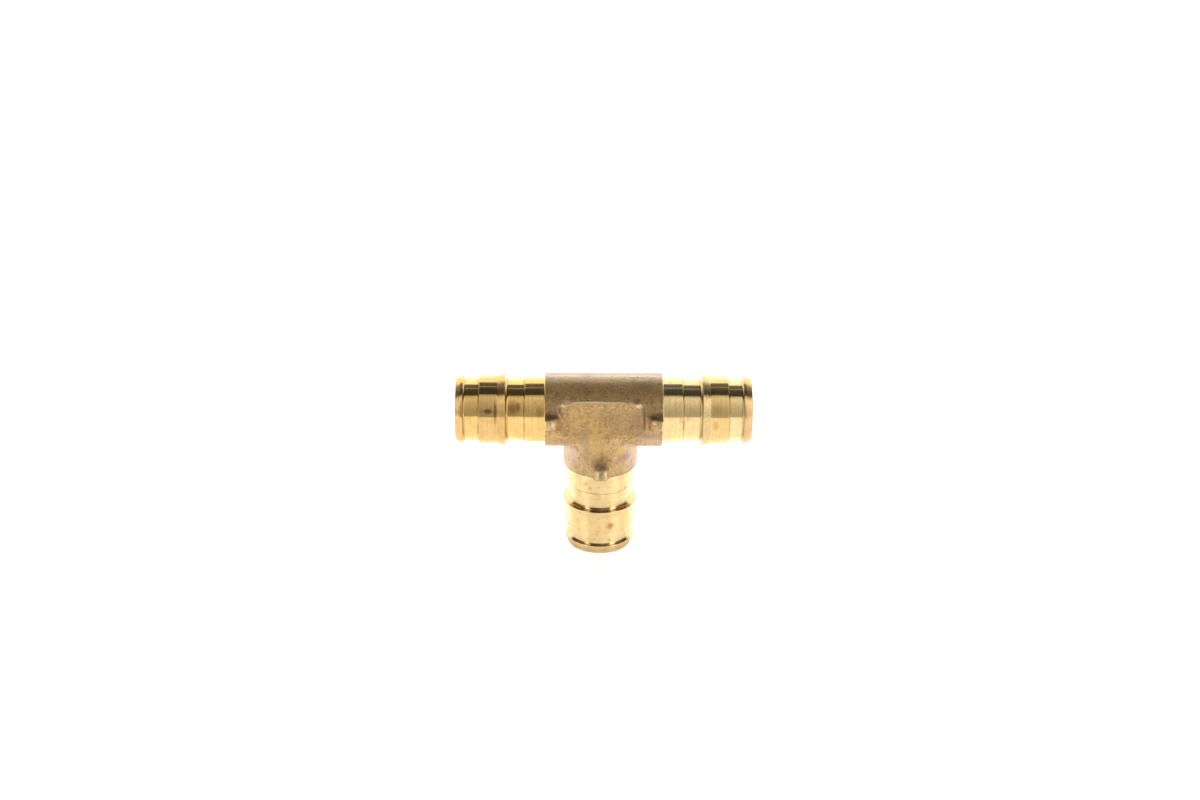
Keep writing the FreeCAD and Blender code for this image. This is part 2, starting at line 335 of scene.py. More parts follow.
# Between these radii the bore's wall gives way to the barb's outside

OUTSIDE = (6.3, 6.6)

# How each arm's brass looks: two tones of its surface, what the land and the flange multiply them
# by, how strong the painted shade in the corners is, roughness, and tarnish

TURNED_LOOKS = {
    "left": {
        "fresh": (0.92, 0.63, 0.245),
        "worn": (0.87, 0.56, 0.20),
        "land_tint": (0.88, 0.88, 0.94),
        "flange_tint": (0.94, 0.88, 0.92),
        "corner_shade": 0.4,
        "roughness": 0.20,
        "tarnish": 0.5,
        "spots": LEFT_SPOTS,
    },
    "right": {
        "fresh": (0.94, 0.72, 0.37),
        "worn": (0.89, 0.66, 0.32),
        "land_tint": (0.95, 0.88, 0.76),
        "flange_tint": (0.85, 0.73, 0.67),
        "corner_shade": 0.4,
        "roughness": 0.22,
        "tarnish": 0.5,
        "spots": RIGHT_SPOTS,
    },
    "branch": {
        "fresh": (0.89, 0.68, 0.35),
        "worn": (0.85, 0.61, 0.285),
        "land_tint": (0.99, 0.97, 0.92),
        "flange_tint": WHITE,
        "corner_shade": 0.85,
        "roughness": 0.22,
        "tarnish": 0.12,
        "spots": BRANCH_SPOTS,
    },
}
CORNER_ROUGHNESS = 0.12


def corner_shade_share(nodes, place, arm):
    """The share of the painted corner shade that is kept; on the branch it gives way in patches round its
    axis, where the softboxes are mirrored.
    """
    if arm != "branch":
        return 1.0
    x, y, _ = nodes.parts(place)
    turn = nodes.math("DEGREES", nodes.math("ARCTAN2", nodes.absolute(x), nodes.absolute(y)))
    # Gaps in the painted shade, at the angles where the softboxes are mirrored
    clean = nodes.plus(nodes.band(turn, 17.5, 28.0, 2.5), nodes.step(turn, 52, 66))
    return nodes.math("SUBTRACT", 1.0, nodes.times(clean, 0.85))


def turned_zones(nodes, past, outside, arm):
    """One on each zone of a barb's outside, by how far it lies past the shoulder."""
    start = FLANGE_STARTS[arm]
    zones = {
        "land": nodes.band(past, LAND_START, LAND_END, 0.04),
        "cone": nodes.band(past, RIDGE_START + 0.1, LAND_START, 0.05),
        "flange": nodes.step(past, start, start + 0.08),
        "under_steps": nodes.plus(
            nodes.band(past, COLLAR_END + 0.02, COLLAR_END + 0.32, 0.05),
            nodes.band(past, LAND_END + 0.01, LAND_END + 0.27, 0.05),
        ),
        "corners": nodes.plus(
            nodes.band(past, RIDGE_START - 0.65, RIDGE_START + 0.05, 0.06),
            nodes.band(past, start - 0.45, start + 0.06, 0.05),
        ),
    }
    return {name: nodes.times(outside, zone) for name, zone in zones.items()}


def turned_colour(nodes, noises, zones, look):
    """The brass's colour before the painted corner shade and the stains."""
    blotch, speck, tarnish = noises["blotch"], noises["speck"], look["tarnish"]
    colour = nodes.mix(nodes.step(blotch, 0.38, 0.68), look["fresh"], look["worn"])
    tan = nodes.tint(colour, TAN_TINT)
    colour = nodes.mix(nodes.step(noises["mottle"], 0.52, 0.70, 0.0, 0.45), colour, tan)
    colour = nodes.mix(nodes.step(speck, 0.58, 0.74, 0.0, 0.3), colour, tan)
    shade = nodes.plus(nodes.times(noises["coarse"], 0.34), 0.86)
    colour = nodes.vector("SCALE", colour, scale=shade)
    colour = nodes.mix(zones["land"], colour, nodes.tint(colour, look["land_tint"]))
    # The cone behind the ridge is a little tarnished
    dull = nodes.times(zones["cone"], nodes.step(speck, 0.35, 0.6, 0.4 * tarnish, tarnish))
    colour = nodes.mix(dull, colour, TARNISH)
    dull = nodes.times(zones["flange"], nodes.step(speck, 0.3, 0.55, 0.7, 1.0))
    colour = nodes.mix(dull, colour, nodes.tint(colour, look["flange_tint"]))
    # Painted shade: thin brown lines run under the steps of the collar and the land
    line = nodes.times(zones["under_steps"], nodes.step(blotch, 0.3, 0.6, 0.3, 0.7))
    return nodes.mix(line, colour, STEP_SHADE_BROWN)


def turned_roughness(nodes, noises, zones, look):
    rough = nodes.plus(nodes.times(noises["fine"], 0.06), look["roughness"] - 0.03)
    rough = nodes.plus(rough, nodes.step(noises["blotch"], 0.45, 0.75, 0.0, 0.04))
    tarnished = nodes.plus(zones["cone"], zones["flange"])
    rough = nodes.plus(rough, nodes.times(tarnished, look["tarnish"] * 0.08))
    # The form tool leaves its corners smoother
    return nodes.blend(zones["corners"], rough, CORNER_ROUGHNESS)


def turned_brass(arm, look):
    """Bright turned brass of one arm; the tool marks run round the arm's axis."""
    material, nodes, shader = new_material("turned_" + arm)
    place = nodes.object_place()
    along = nodes.vector("DOT_PRODUCT", place, OUTWARD[arm])
    past = nodes.math("SUBTRACT", along, SHOULDERS[arm])
    squares = nodes.vector("DOT_PRODUCT", place, place)
    radius = nodes.math("SQRT", nodes.math("SUBTRACT", squares, nodes.times(along, along)))
    wobble = nodes.noise(place, scale=0.5, detail=2.0)
    feed = nodes.plus(past, radius, nodes.times(wobble, 0.1))
    noises = {
        "fine": nodes.noise(feed, scale=14.0, detail=2.0, roughness=0.6, dimensions="1D"),
        "coarse": nodes.noise(feed, scale=2.6, detail=3.0, roughness=0.6, dimensions="1D"),
        "blotch": nodes.noise(place, scale=0.55, detail=4.0, roughness=0.6),
        "speck": nodes.noise(place, scale=4.0, detail=3.0, roughness=0.65),
        "mottle": nodes.noise(place, scale=1.5, detail=5.0, roughness=0.72),
    }
    zones = turned_zones(nodes, past, nodes.step(radius, *OUTSIDE), arm)
    colour = turned_colour(nodes, noises, zones, look)
    # Painted dark reflection darkens the corners at the ridge and the flange
    corner_shade = nodes.times(zones["corners"], look["corner_shade"], corner_shade_share(nodes, place, arm))
    colour = nodes.mix(corner_shade, colour, PAINTED_CORNER_SHADE)
    warp = nodes.plus(nodes.times(noises["mottle"], 1.3), nodes.times(noises["speck"], 0.9), -1.1)
    colour = lay_spots(nodes, place, warp, colour, look["spots"])
    nodes.link(colour, shader.inputs["Base Color"])
    shader.inputs["Metallic"].default_value = 1.0
    # Turning marks run round the work, so a reflection spreads along the axis
    tangent = nodes.add("ShaderNodeTangent", direction_type="RADIAL", axis="Z" if arm == "branch" else "X")
    nodes.link(tangent.outputs[0], shader.inputs["Tangent"])
    shader.inputs["Anisotropic"].default_value = 1.0
    shader.inputs["Anisotropic Rotation"].default_value = 0.25
    nodes.link(turned_roughness(nodes, noises, zones, look), shader.inputs["Roughness"])
    normal = nodes.bump(noises["coarse"], 0.0015)
    normal = nodes.bump(noises["speck"], 0.0012, normal=normal)
    nodes.link(normal, shader.inputs["Normal"])
    return material


# Forged brass

PANEL_HEIGHTS = (-3.4, 4.9)
PANEL_SIDES = (-8.7, 8.7)
PANEL_DEPTH = (6.5, 7.1)
UPPER_HEIGHTS = (4.8, 8.0)
BESIDE_START = (8.4, 9.0)
BESIDE_HEIGHTS = (1.8, 8.0)
TOP_SHEEN_START = (7.8, 8.5)
SHOULDER_SHADOW_HEIGHTS = (-13.2, -12.5)


def forged_skin(nodes, place, noises):
    """The forging's colour before its shape and its stains change it."""
    patch, cloud, grit, grain, sand = noises
    colour = nodes.mix(nodes.step(patch, 0.35, 0.65), SKIN, SKIN_DARK)
    colour = nodes.mix(nodes.step(cloud, 0.46, 0.66, 0.0, 0.75), colour, SKIN_CLOUD)
    # Specks crowd in some places and thin out in others
    deep = nodes.tint(colour, SPECK_TINT)
    gathering = nodes.noise(place, scale=0.8, detail=2.0, roughness=0.6)
    crowd = nodes.step(gathering, 0.36, 0.62, 0.15, 1.0)
    for speck, low, strength in ((grit, 0.52, 0.65), (grain, 0.50, 0.85)):
        dark = nodes.times(nodes.step(speck, low, 0.68, 0.0, strength), crowd)
        colour = nodes.mix(dark, colour, deep)
    light = nodes.times(nodes.step(grit, 0.34, 0.46, 0.45, 0.0), crowd)
    colour = nodes.mix(light, colour, PALE_GRIT)
    colour = nodes.mix(nodes.step(grain, 0.32, 0.46, 0.5, 0.0), colour, PALE_GRAIN)
    return nodes.mix(nodes.step(sand, 0.25, 0.45, 0.35, 0.0), colour, PALE_SAND)


def forged_zones(nodes, place, colour, cloud, grain):
    """The panel is a little darker; the upper part is darker still as painted shade, and a painted sheen
    makes the top paler.
    """
    across, inwards, height = nodes.parts(place)
    panel = nodes.times(nodes.band(height, *PANEL_HEIGHTS, 0.4), nodes.band(across, *PANEL_SIDES, 0.4))
    panel = nodes.times(panel, nodes.step(nodes.absolute(inwards), *PANEL_DEPTH))
    colour = nodes.mix(panel, colour, nodes.tint(colour, PANEL_TINT))
    # Painted shade: the upper part, and the sides beside the panel, are darker
    above = nodes.band(height, *UPPER_HEIGHTS, 0.5)
    beside = nodes.step(nodes.absolute(across), *BESIDE_START)
    beside = nodes.times(beside, nodes.band(height, *BESIDE_HEIGHTS, 0.8))
    upper = nodes.math("MAXIMUM", above, beside)
    colour = nodes.mix(upper, colour, nodes.tint(colour, UPPER_SHADE_TINT))
    # Painted sheen: the top is painted paler, broken up by the grain
    scale = nodes.step(nodes.plus(height, nodes.times(cloud, 0.8)), *TOP_SHEEN_START, 0.0, 0.6)
    scale = nodes.times(scale, nodes.step(grain, 0.38, 0.58, 1.0, 0.35))
    return nodes.mix(scale, colour, PALE_TOP_SHEEN)


def forged_brass(name, spots, glints):
    """Raw brass as it leaves the dies: brown, fine-grained and dull."""
    material, nodes, shader = new_material(name)
    place = nodes.object_place()
    patch = nodes.noise(place, scale=0.35, detail=4.0, roughness=0.6)
    cloud = nodes.noise(place, scale=1.1, detail=5.0, roughness=0.68)
    grit = nodes.noise(place, scale=2.0, detail=2.0, roughness=0.6)
    grain = nodes.noise(place, scale=3.4, detail=3.0, roughness=0.7)
    sand = nodes.noise(place, scale=9.0, detail=2.0, roughness=0.6)
    colour = forged_skin(nodes, place, (patch, cloud, grit, grain, sand))
    colour = forged_zones(nodes, place, colour, cloud, grain)

    # Painted shade darkens the hollows, though not along the top, and edges are painted paler
    height = nodes.parts(place)[2]
    curve = nodes.add("ShaderNodeAttribute", attribute_name="curve").outputs["Fac"]
    hollow_strength = nodes.step(height, 7.0, 7.8, 0.35, 0.0)
    hollow = nodes.step(nodes.times(curve, -1.0), 0.15, 0.9, 0.0, hollow_strength)
    # Edges painted paler: rubbed wear with a painted highlight
    edge = nodes.times(nodes.step(curve, 0.3, 1.1), nodes.step(cloud, 0.40, 0.62, 0.08, 0.65))
    colour = nodes.mix(hollow, colour, PAINTED_HOLLOW_SHADE)
    colour = nodes.mix(edge, colour, EDGE_WEAR_AND_HIGHLIGHT)
    # Painted shadow: a thin dull line runs where the branch's shoulder was turned
    rim = nodes.times(nodes.band(height, *SHOULDER_SHADOW_HEIGHTS, 0.08), 0.55)
    colour = nodes.mix(rim, colour, SHOULDER_SHADOW_GREY)
    # Stains and painted shade, then painted highlights
    colour = lay_spots(nodes, place, nodes.centred(cloud, 3.0), colour, spots)
    colour = lay_spots(nodes, place, nodes.centred(grain, 1.5), colour, glints)
    nodes.link(colour, shader.inputs["Base Color"])
    shader.inputs["Metallic"].default_value = 1.0
    rough = nodes.plus(nodes.times(cloud, 0.14), 0.29)
    rough = nodes.plus(rough, nodes.times(hollow, 0.12))
    nodes.link(rough, shader.inputs["Roughness"])
    normal = nodes.bump(sand, 0.03, 0.8)
    normal = nodes.bump(grain, 0.14, 0.9, normal)
    normal = nodes.bump(cloud, 0.24, 0.9, normal)
    nodes.link(normal, shader.inputs["Normal"])
    return material


FORGED = forged_brass("forged_skin", FORGED_SPOTS, FORGED_PAINTED_GLINTS)
TURNED = {arm: turned_brass(arm, look) for arm, look in TURNED_LOOKS.items()}


# The forged body

VOXEL = 0.191
VOXEL_SMOOTHING = 3
SHARP_ANGLE = 38.0
CURVE_SMOOTHING = 3

# The arm is cut off a little behind its shoulder, and closed again in steps up to it

CUT_BACK = 0.42
CUT_STEPS = 6
STOP_CREST = {"left": 10.025, "right": 10.025, "branch": 9.95}
STOP_BEVEL = 0.4
BEVEL_MARGIN = 0.03
BORE_MARGIN = 0.2

# Radii of the bores' walls: where the forging's unevenness stops, and what counts as a wall

EVEN_WALLS = {"left": 6.2, "branch": 6.0}
TURNED_WALLS = {arm: BORES[arm] + 0.25 for arm in EVEN_WALLS}

# The forging's unevenness all over: height in millimetres, and how closely its waves follow

UNEVENNESS = ((0.028, 0.45), (0.012, 1.7))

# Soft ridges and dents on the front and back of the forging: points in X and Z, half width and
# height above the surface, all in millimetres, and the ranges of |X|, |Y| and Z that hold them

RIDGES = [
    (((-6.4, 4.85), (-2.0, 4.95), (1.5, 4.8), (4.6, 4.85)), 0.16, 0.10),
    (((-9.3, -2.9), (-8.0, -3.2), (-5.4, -3.4)), 0.3, 0.13),
    (((6.6, -3.7), (7.8, -2.9), (8.9, -2.3)), 0.3, 0.14),
    (((-9.4, 2.9), (-8.9, 1.6), (-8.2, 0.7)), 0.25, 0.12),
    (((8.5, 1.9), (8.6, 0.2)), 0.22, 0.10),
    (((-8.6, 4.2), (-8.3, 3.8)), 0.35, 0.16),
    (((7.9, 4.2), (8.1, 3.9)), 0.35, 0.18),
    (((-4.6, -3.7), (-1.2, -3.6)), 0.13, -0.08),
    (((3.7, -3.2), (5.9, -3.3)), 0.13, -0.08),
    (((-6.0, 4.45), (5.0, 4.45)), 0.15, -0.05),
]
RIDGED_PLACE = ((-ANY, 10.0), (5.5, ANY), (-4.5, ANY))
RIDGE_REACH = 2.5
RIDGE_WAVES = 1.1

# Where creases run out softly: rounds of smoothing, and ranges of |X|, |Y| and Z

SOFT_PLACES = {
    "panel's lower edge": (45, ((-ANY, 3.6), (7.0, ANY), (-5.2, -2.3))),
    "panel's sides": (10, ((7.6, 9.4), (5.5, ANY), (-4.2, 5.0))),
    "run's stops": (14, ((8.6, ANY), (7.4, ANY), (-4.0, 4.0))),
    "branch's stops": (14, ((-ANY, 3.6), (7.4, ANY), (-ANY, -8.2))),
    "line along the top": (8, ((-ANY, ANY), (-ANY, 1.3), (7.4, ANY))),
}


def link_object(name, mesh):
    made = bpy.data.objects.new(name, mesh)
    bpy.context.scene.collection.objects.link(made)
    return made


def evaluated_mesh(made):
    """The object's mesh with its modifiers applied."""
    graph = bpy.context.evaluated_depsgraph_get()
    mesh = bpy.data.meshes.new_from_object(made.evaluated_get(graph))
    old = made.data
    made.modifiers.clear()
    made.data = mesh
    bpy.data.meshes.remove(old)
    return mesh


def is_within(point, ranges):
    """Whether a point lies in ranges of |X|, |Y| and Z."""
    place = (abs(point.x), abs(point.y), point.z)
    return all(low < value < high for value, (low, high) in zip(place, ranges))


def bore_at(point, walls):
    """The arm whose bore runs within the given radius of a point, or None."""
    if math.hypot(point.y, point.z) < walls["left"]:
        return "left"
    if point.z < 0 and math.hypot(point.x, point.y) < walls["branch"]:
        return "branch"
    return None


def distance_to_line(point, line):
    best = ANY
    for start, end in zip(line, line[1:]):
        start, end = Vector(start), Vector(end)
        along = end - start
        share = max(0.0, min(1.0, (point - start).dot(along) / along.length_squared))
        best = min(best, (point - start - along * share).length)
    return best


def forged_relief(point):
    """Height of the forging's small unevenness at a point, in millimetres."""
    height = sum(rise * noise.noise(point * waves) for rise, waves in UNEVENNESS)
    if is_within(point, RIDGED_PLACE):
        flat = Vector((point.x, point.z))
        for line, half_width, rise in RIDGES:
            reach = distance_to_line(flat, line) / half_width
            if reach < RIDGE_REACH:
                unevenness = 1 + 0.5 * noise.noise(point * RIDGE_WAVES)
                height += rise * unevenness * math.exp(-reach * reach)
    return height


def off_axis(point, outward):
    """A point's place, square to an arm's axis."""
    return point - outward * point.dot(outward)


def stop_limit(arm, depth):
    """The stops' radius at a depth behind the shoulder, where their outer edge is bevelled."""
    return STOP_CREST[arm] - max(0.0, STOP_BEVEL - depth)


def cut_arm(bm, arm):
    """Cuts the arm's barb away and ends the body in a clean turned shoulder.

    Gives the faces of the shoulder and of the bevels beside it, which are turned bright.
    """
    outward = OUTWARD[arm]
    plane = outward * (SHOULDERS[arm] - CUT_BACK)
    bmesh.ops.bisect_plane(
        bm,
        geom=bm.verts[:] + bm.edges[:] + bm.faces[:],
        dist=1e-5,
        plane_co=plane,
        plane_no=outward,
        clear_outer=True,
    )
    edges = [
        edge
        for edge in bm.edges
        if edge.is_boundary and all(abs((vertex.co - plane).dot(outward)) < 1e-3 for vertex in edge.verts)
    ]
    rims = []
    for step in range(1, CUT_STEPS + 1):
        depth = CUT_BACK * (1 - step / CUT_STEPS)
        limit = stop_limit(arm, depth)
        before = set(bm.faces)
        made = bmesh.ops.extrude_edge_only(bm, edges=edges)["geom"]
        edges = [item for item in made if isinstance(item, bmesh.types.BMEdge)]
        rims += [face for face in bm.faces if face not in before]
        for vertex in {vertex for edge in edges for vertex in edge.verts}:
            away = off_axis(vertex.co, outward)
            if away.length > limit:
                away = away.normalized() * limit
            vertex.co = away + outward * (SHOULDERS[arm] - depth)
    filled = bmesh.ops.triangle_fill(bm, use_beauty=True, edges=edges, normal=outward)["geom"]
    turned = [item for item in filled if isinstance(item, bmesh.types.BMFace)]
    for face in rims:
        centre = face.calc_center_median()
        away = off_axis(centre, outward).length
        depth = SHOULDERS[arm] - centre.dot(outward)
        if away < BORES[arm] + BORE_MARGIN or away > stop_limit(arm, depth) - BEVEL_MARGIN:
            turned.append(face)
    return turned


def soften(bm, rounds, ranges):
    verts = [vertex for vertex in bm.verts if is_within(vertex.co, ranges)]
    for _ in range(rounds):
        bmesh.ops.smooth_vert(bm, verts=verts, factor=0.5, use_axis_x=True, use_axis_y=True, use_axis_z=True)


def mesh_values(items, name, width, kind=float):
    """One value of every vertex or edge of a mesh, a row each."""
    values = np.empty(len(items) * width, dtype=kind)
    items.foreach_get(name, values)
    return values.reshape(-1, width)


def store_curve(mesh):
    """Keeps how sharply the surface bends at each point, per millimetre; edges are positive."""
    count = len(mesh.vertices)
    place = mesh_values(mesh.vertices, "co", 3) / MM
    normal = mesh_values(mesh.vertices, "normal", 3)
    ends = mesh_values(mesh.edges, "vertices", 2, int)
    here = np.concatenate((ends[:, 0], ends[:, 1]))
    there = np.concatenate((ends[:, 1], ends[:, 0]))
    step = place[there] - place[here]
    # Very short edges would give wild values
    length = np.maximum((step * step).sum(1), (VOXEL / 3) ** 2)
    bend = -2 * (step * normal[here]).sum(1) / length
    links = np.maximum(np.bincount(here, minlength=count), 1)
    curve = np.bincount(here, bend, minlength=count) / links
    for _ in range(CURVE_SMOOTHING):
        around = np.bincount(here, curve[there], minlength=count) / links
        curve = (curve + around) / 2
    attribute = mesh.attributes.new("curve", "FLOAT", "POINT")
    attribute.data.foreach_set("value", curve.astype(np.float32))


def remeshed_body():
    """The CAD node's shape as an even, slightly rounded mesh in millimetres."""
    bm = bmesh.new()
    bm.from_mesh(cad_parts["tee_fitting"].data)
    bmesh.ops.scale(bm, vec=(1 / MM,) * 3, verts=bm.verts)
    bmesh.ops.remove_doubles(bm, verts=bm.verts, dist=1e-4)
    mesh = bpy.data.meshes.new("forged_body")
    bm.to_mesh(mesh)
    bm.free()
    body = link_object("forged_body", mesh)
    remesh = body.modifiers.new("remesh", "REMESH")
    remesh.mode = "VOXEL"
    remesh.voxel_size = VOXEL
    smooth = body.modifiers.new("smooth", "SMOOTH")
    smooth.factor = 0.5
    smooth.iterations = VOXEL_SMOOTHING
    return body, evaluated_mesh(body)


def build_body():
    body, mesh = remeshed_body()
    materials = [FORGED, *TURNED.values()]
    slots = {arm: materials.index(material) for arm, material in TURNED.items()}
    bm = bmesh.new()
    bm.from_mesh(mesh)
    for rounds, ranges in SOFT_PLACES.values():
        soften(bm, rounds, ranges)
    bm.normal_update()
    moves = [0.0 if bore_at(vertex.co, EVEN_WALLS) else forged_relief(vertex.co) for vertex in bm.verts]
    for vertex, move in zip(bm.verts, moves):
        vertex.co += vertex.normal * move
    turned_faces = {arm: cut_arm(bm, arm) for arm in SHOULDERS}
    bmesh.ops.recalc_face_normals(bm, faces=bm.faces)
    for face in bm.faces:
        face.smooth = True
        bore = bore_at(face.calc_center_median(), TURNED_WALLS)
        if bore:
            face.material_index = slots[bore]
    for arm, faces in turned_faces.items():
        for face in faces:
            face.material_index = slots[arm]
    bmesh.ops.scale(bm, vec=(MM,) * 3, verts=bm.verts)
    bm.to_mesh(mesh)
    bm.free()
    store_curve(mesh)
    mesh.set_sharp_from_angle(angle=math.radians(SHARP_ANGLE))
    for material in materials:
        mesh.materials.append(material)
    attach(body, "root")
    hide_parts("tee_fitting")


# The turned barbs

SEGMENTS = 256
ARC_STEPS = 6

# How far each barb reaches back into the body, out of sight, and how much its bore widens there

BARB_ROOT = 0.3
ROOT_FLARE = 0.1


def barb_outline(arm):
    """The corners of a barb's outline: distance past the shoulder, radius, rounding."""
    bore, flange = BORES[arm], FLANGE_STARTS[arm]
    return [
        (-BARB_ROOT, SEAT_RADIUS, 0.0),
        (0.0, SEAT_RADIUS, 0.0),
        (0.0, COLLAR_RADIUS, 0.22),
        (COLLAR_END, COLLAR_RADIUS, 0.09),
        (COLLAR_END, GROOVE_RADIUS, 0.15),
        (RIDGE_START, GROOVE_RADIUS, 0.7),
        (RIDGE_START, RIDGE_RADIUS, 0.13),
        (LAND_START, LAND_RADIUS, 0.1),
        (LAND_END, LAND_RADIUS, 0.1),
        (LAND_END, GROOVE_RADIUS, 0.15),
        (flange, GROOVE_RADIUS, 0.5),
        (flange, FLANGE_RADIUS, 0.08),
        (flange + NOSE_START, NOSE_START_RADIUS, 1.2),
        (BARB_END, NOSE_END_RADIUS, 0.16),
        (BARB_END, bore + MOUTH_CHAMFER, 0.06),
        (BARB_END - MOUTH_CHAMFER, bore, 0.06),
        (0.0, bore, 0.0),
        (-BARB_ROOT, bore + ROOT_FLARE, 0.0),
    ]


def turned_by(vector, angle):
    """A flat vector turned by an angle."""
    across, up = vector
    return Vector(
        (
            across * math.cos(angle) - up * math.sin(angle),
            across * math.sin(angle) + up * math.cos(angle),
        )
    )


def rounded(corners):
    """Points and outward normals of a closed outline whose corners are rounded."""
    rings = []
    for index, (along, out, radius) in enumerate(corners):
        here = Vector((along, out))
        before = Vector(corners[index - 1][:2])
        after = Vector(corners[(index + 1) % len(corners)][:2])
        incoming = (here - before).normalized()
        outgoing = (after - here).normalized()
        left_in = Vector((-incoming.y, incoming.x))
        left_out = Vector((-outgoing.y, outgoing.x))
        if radius <= 0:
            rings += [(here, left_in), (here, left_out)]
            continue
        turn = math.atan2(incoming.x * outgoing.y - incoming.y * outgoing.x, incoming.dot(outgoing))
        side = 1 if turn > 0 else -1
        cut = radius * math.tan(abs(turn) / 2)
        start = here - incoming * cut
        centre = start + left_in * radius * side
        steps = max(2, round(ARC_STEPS * (1 + radius) * abs(turn) / (math.pi / 2)))
        for step in range(steps + 1):
            normal = turned_by(left_in, turn * step / steps)
            rings.append((centre - normal * radius * side, normal))
    return rings


def build_barb(arm):
    """Turns a barb's outline round its arm's axis."""
    outward = OUTWARD[arm]
    first = Vector((0, 1, 0))
    second = outward.cross(first)
    rings = rounded(barb_outline(arm))
    verts, normals, faces = [], [], []
    for place, normal in rings:
        for segment in range(SEGMENTS):
            angle = 2 * math.pi * segment / SEGMENTS
            away = first * math.cos(angle) + second * math.sin(angle)
            point = outward * (SHOULDERS[arm] + place.x) + away * place.y
            verts.append(point * MM)
            normals.append(outward * normal.x + away * normal.y)
    for ring, (place, _) in enumerate(rings):
        following = (ring + 1) % len(rings)
        if (place - rings[following][0]).length < 1e-6:
            continue
        near, far = ring * SEGMENTS, following * SEGMENTS
        for segment in range(SEGMENTS):
            beside = (segment + 1) % SEGMENTS
            faces.append((near + segment, near + beside, far + beside, far + segment))
    mesh = bpy.data.meshes.new(arm + "_barb")
    mesh.from_pydata(verts, [], faces)
    mesh.update()
    mesh.shade_smooth()
    mesh.normals_split_custom_set_from_vertices([tuple(normal) for normal in normals])
    mesh.materials.append(TURNED[arm])
    barb = link_object(arm + "_barb", mesh)
    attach(barb, "root")
    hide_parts("tee_fitting")


build_body()
for arm in SHOULDERS:
    build_barb(arm)


# The studio

# Angles in degrees of the pale tent that the metal sees. Over runs from straight ahead, 0, past
# straight up, 90, to straight behind, 180. Side goes round to either hand, and height is above
# level. Across is the X part of a direction, from the left to the right.

FRONT_OVER = (8.0, 76.0)
FRONT_LEVELS = (0.35, 0.52)
FRONT_ACROSS = (-0.12, 0.12)
FRONT_ACROSS_LEVELS = (0.71, 1.55)
SOFTBOX_SIDES = (40, 66)
SOFTBOX_TOP = (56, 64)
SOFTBOX_HEIGHTS = (0, 50)
SOFTBOX_LEVELS = (1.15, 1.8)
SOFTBOX_ACROSS = (-0.2, 0.2)
SOFTBOX_ACROSS_LEVELS = (0.9, 1.3)
FLANKS_SIDE = (63, 69)
FLANKS_LEVEL = 0.5
REAR_SIDE = (98, 112)
REAR_OVER = (130, 170)
REAR_LEVELS = (1.3, 1.65)
GAP_OVER = (75.7, 127.5)
GAP_LEVELS_OVER = (92, 120)
GAP_LEVELS = (0.050, 0.09)
STRIP_OVER = (105.5, 109.5)
STRIP_LEVEL = 0.36
GROUND_HEIGHT = (-6.0, 0.0)
WARM_OVER = (3, 79)
WARM_LIGHT = (1.0, 0.96, 0.87)
SOFTBOX_LIGHT = (0.98, 1.0, 1.04)

# The floor: its radius in metres, and how it looks and glows

FLOOR_RADIUS = 1.6
FLOOR_TONES = ((0.80, 0.80, 0.80), (0.84, 0.84, 0.84))
FLOOR_ROUGHNESS = 0.16
FLOOR_IOR = 1.45
FLOOR_GLOW = 0.6
BEHIND_LIGHT = (0.96, 1.0, 1.12)


